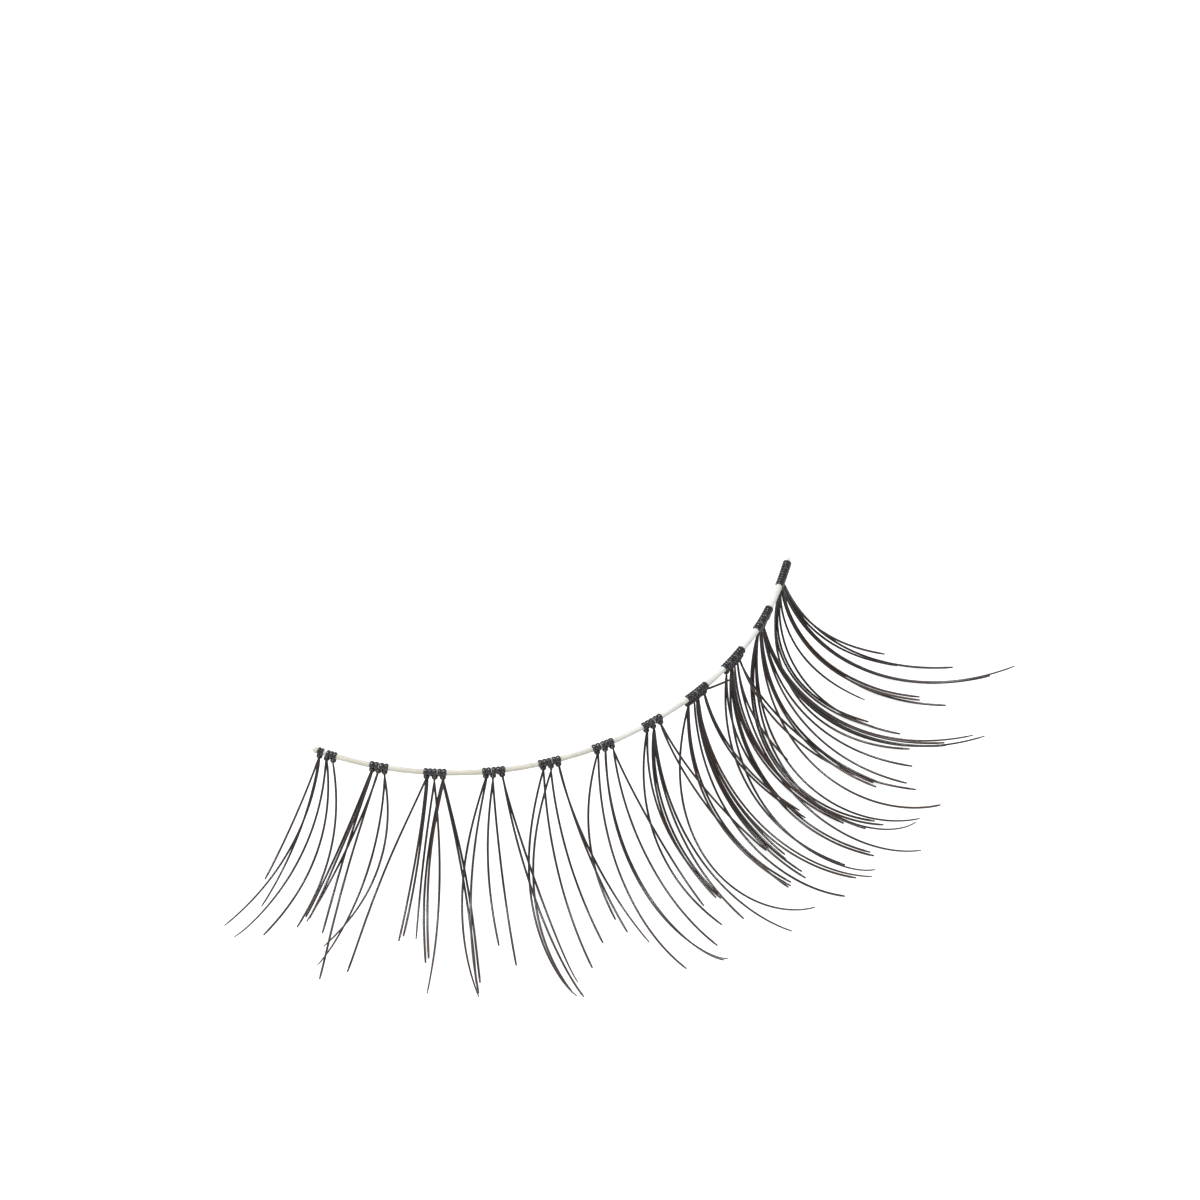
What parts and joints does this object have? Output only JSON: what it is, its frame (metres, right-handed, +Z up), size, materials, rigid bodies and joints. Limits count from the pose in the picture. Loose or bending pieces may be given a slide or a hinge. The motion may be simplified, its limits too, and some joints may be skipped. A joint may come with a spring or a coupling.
{
  "type": "false eyelash strip",
  "caption": "Strip of false lashes: a fine bowed band thread with short wound sections, each carrying a row of knots and a tuft of long curled lashes.",
  "frame": {"origin": "on the table under the middle of the strip's box", "axes": "+Z up, X along the chord of the band with its dense end at +X, the lashes reach towards -Y"},
  "size_m": [0.0438, 0.0204, 0.0051],
  "materials": {
    "ivory_thread": "fine twisted thread, off-white, slightly waxy",
    "black_thread": "tightly wound black thread with a soft sheen",
    "black_fibre": "curled synthetic hair, brown-black, satin gloss"
  },
  "bodies": {
    "root": {"band_thread": "ivory_thread", "winding_01": "black_thread", "winding_02": "black_thread", "winding_03": "black_thread", "winding_04": "black_thread", "winding_05": "black_thread", "winding_06": "black_thread", "winding_07": "black_thread", "winding_08": "black_thread", "winding_09": "black_thread", "winding_10": "black_thread", "winding_11": "black_thread", "winding_12": "black_thread", "lash_tuft_01": "black_fibre", "lash_tuft_02": "black_fibre", "lash_tuft_03": "black_fibre", "lash_tuft_04": "black_fibre", "lash_tuft_05": "black_fibre", "lash_tuft_06": "black_fibre", "lash_tuft_07": "black_fibre", "lash_tuft_08": "black_fibre", "lash_tuft_09": "black_fibre", "lash_tuft_10": "black_fibre", "lash_tuft_11": "black_fibre", "lash_tuft_12": "black_fibre"}
  },
  "joints": []
}
